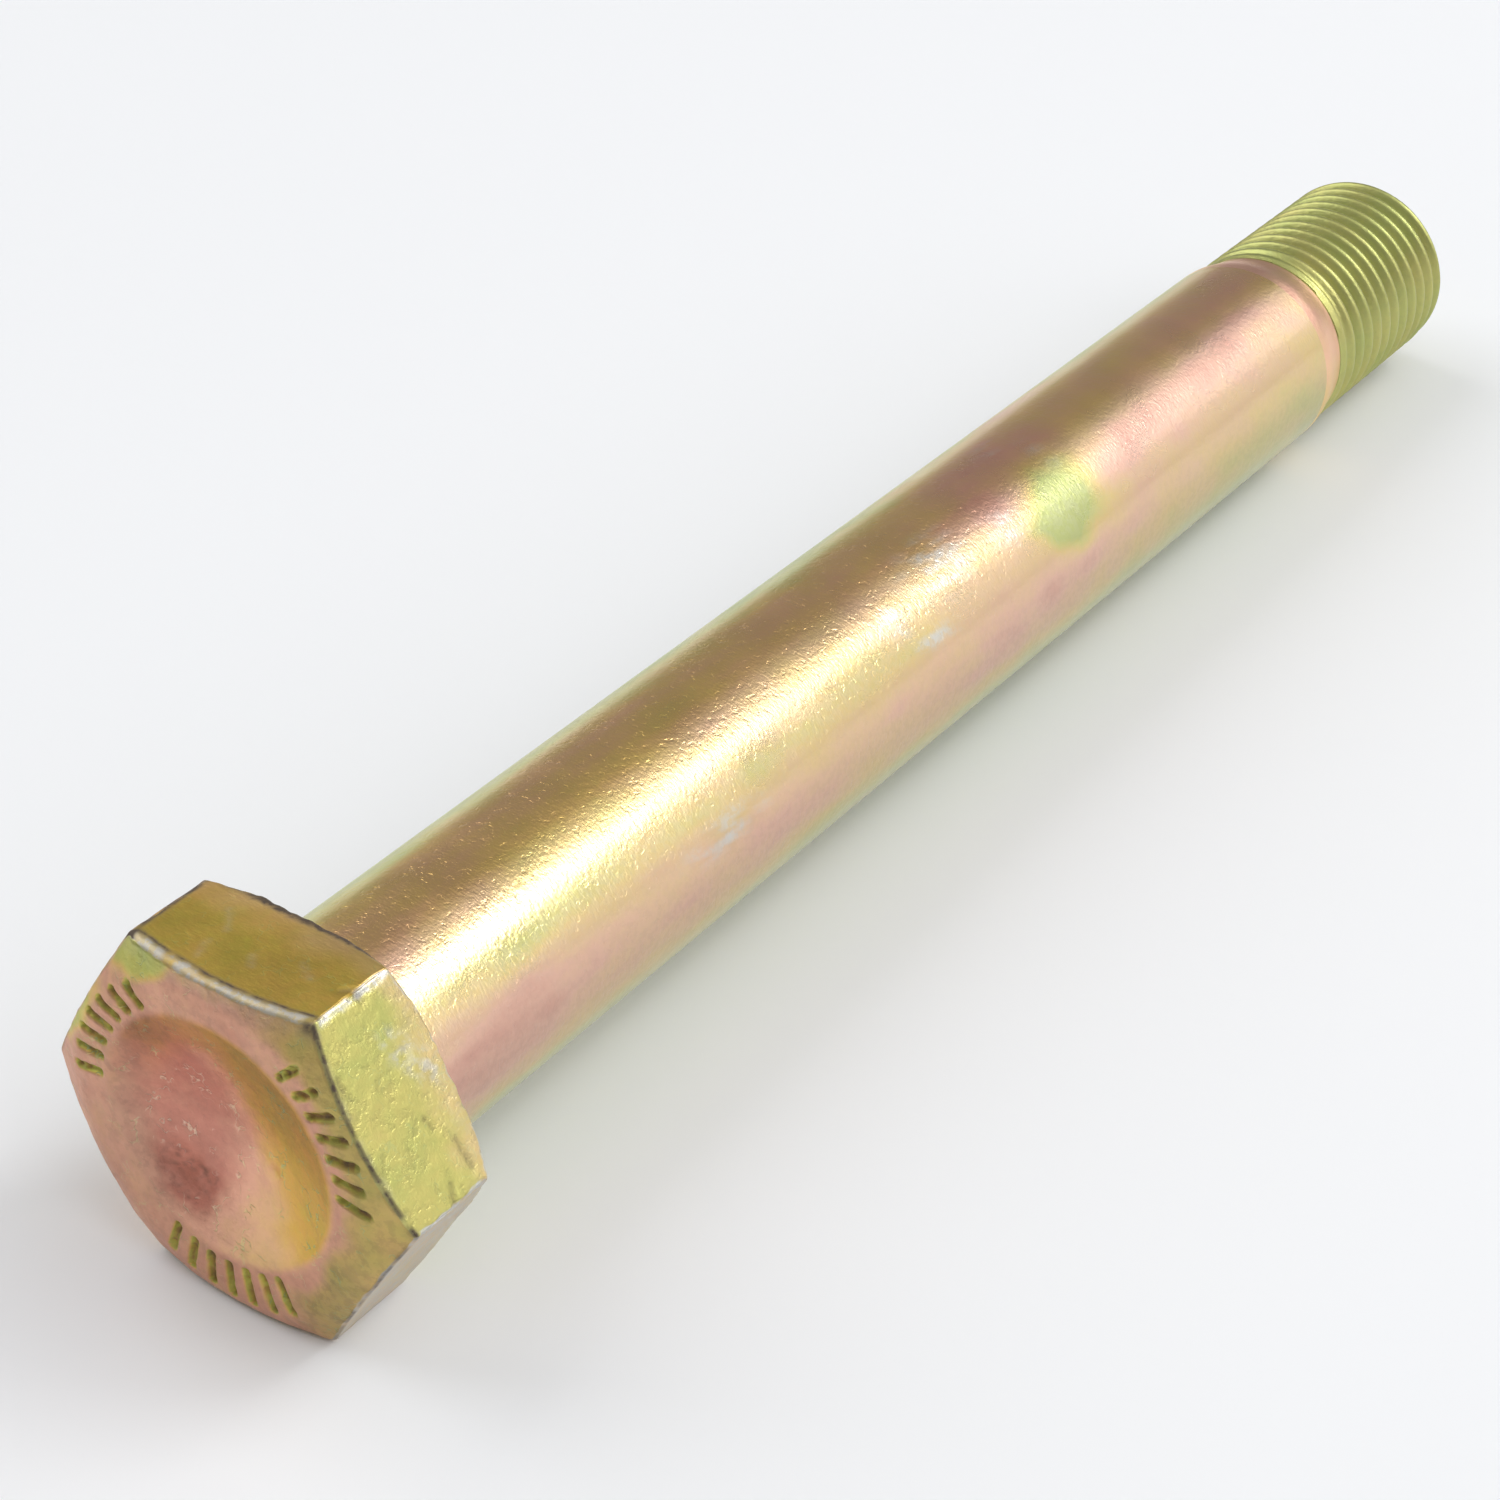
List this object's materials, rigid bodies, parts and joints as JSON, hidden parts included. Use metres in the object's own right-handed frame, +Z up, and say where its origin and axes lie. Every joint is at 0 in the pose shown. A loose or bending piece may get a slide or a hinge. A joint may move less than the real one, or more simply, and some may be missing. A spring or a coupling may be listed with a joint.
{
  "type": "shear bolt",
  "caption": "Hexagon-head bolt with a dished head top, a long plain shank turned to a close fit and a short fine thread with a chamfered point.",
  "frame": {"origin": "middle of the bolt's footprint, on the surface that it lies on", "axes": "+X from the head towards the thread, +Z up; the bolt lies on the lower flat of its head and on the end of its thread, so its axis dips 1.8 degrees towards the thread"},
  "size_m": [0.1152, 0.0218, 0.0191],
  "materials": {
    "plated_steel": "yellow passivated plating, satin, with pink and green iridescence"
  },
  "bodies": {
    "root": {"shear_bolt": "plated_steel"}
  },
  "joints": []
}
